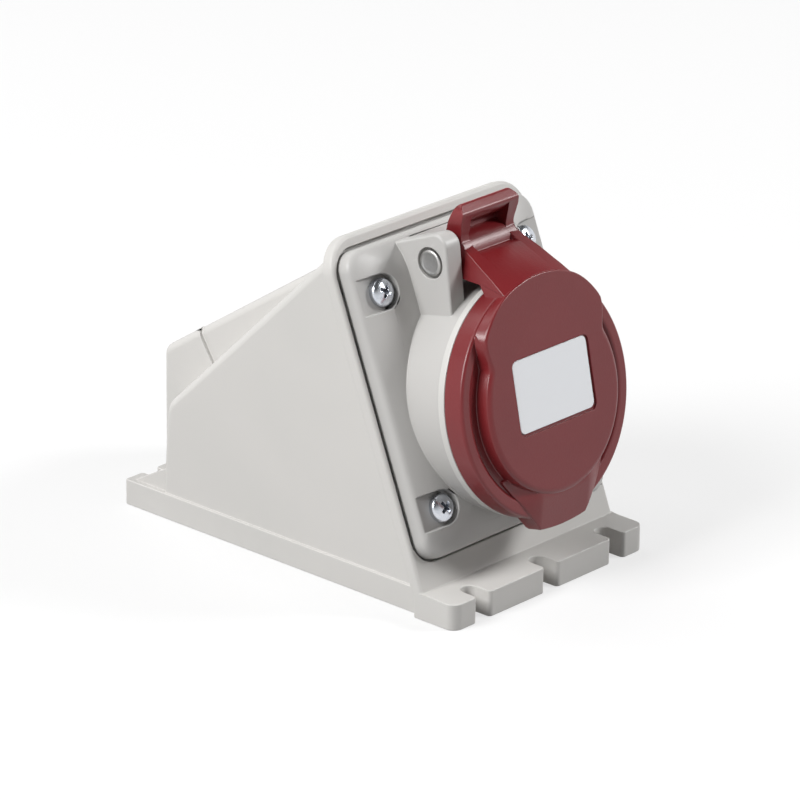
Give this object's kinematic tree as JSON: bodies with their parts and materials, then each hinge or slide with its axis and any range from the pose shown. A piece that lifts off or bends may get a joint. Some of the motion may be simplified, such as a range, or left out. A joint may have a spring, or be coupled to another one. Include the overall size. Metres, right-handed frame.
{
  "type": "pin and sleeve receptacle",
  "caption": "Wall-mounting power receptacle: a wedge-shaped box with slotted base carries an inclined round socket under a sprung hinged lid.",
  "frame": {"origin": "centre of the base's mounting face", "axes": "+Z away from the wall, +Y from the slotted front edge to the cable entry, +X across the base"},
  "size_m": [0.1, 0.1761, 0.1354],
  "materials": {
    "housing_plastic": "satin",
    "socket_plastic": "satin",
    "insert_plastic": "matte",
    "contact_brass": "machined",
    "zinc_steel": "zinc plated",
    "lid_plastic": "semi-gloss",
    "seal_rubber": "matte",
    "label_plastic": "matte",
    "pin_metal": "satin",
    "spring_steel": "drawn",
    "gland_plastic": "satin"
  },
  "bodies": {
    "base": {"housing": "housing_plastic", "plate_gasket": "seal_rubber", "socket_body": "socket_plastic", "socket_barrel": "socket_plastic", "contact_carrier": "insert_plastic", "carrier_flange": "insert_plastic", "terminal_block": "insert_plastic", "contact_l1": "contact_brass", "contact_l2": "contact_brass", "contact_l3": "contact_brass", "contact_neutral": "contact_brass", "contact_earth": "contact_brass", "terminal_screws": "zinc_steel", "carrier_screws": "zinc_steel", "plate_screws": "zinc_steel", "boss_inserts": "contact_brass", "hinge_pin": "pin_metal", "pin_clip": "pin_metal", "hinge_spring": "spring_steel", "gland_body": "gland_plastic", "gland_nut": "gland_plastic", "gland_seal": "seal_rubber", "gland_locknut": "gland_plastic"},
    "lid": {"lid": "lid_plastic", "lid_seal": "seal_rubber", "lid_label": "label_plastic"}
  },
  "joints": [
    {"name": "lid_hinge", "type": "hinge", "parent": "base", "child": "lid", "pos_m": [0, -0.04282, 0.1165], "axis": [-1, 0, 0], "range_deg": [0, 75], "stiffness_Nm_per_rad": 0.04, "springref_deg": -68.75, "deforming": ["hinge_spring"]}
  ]
}
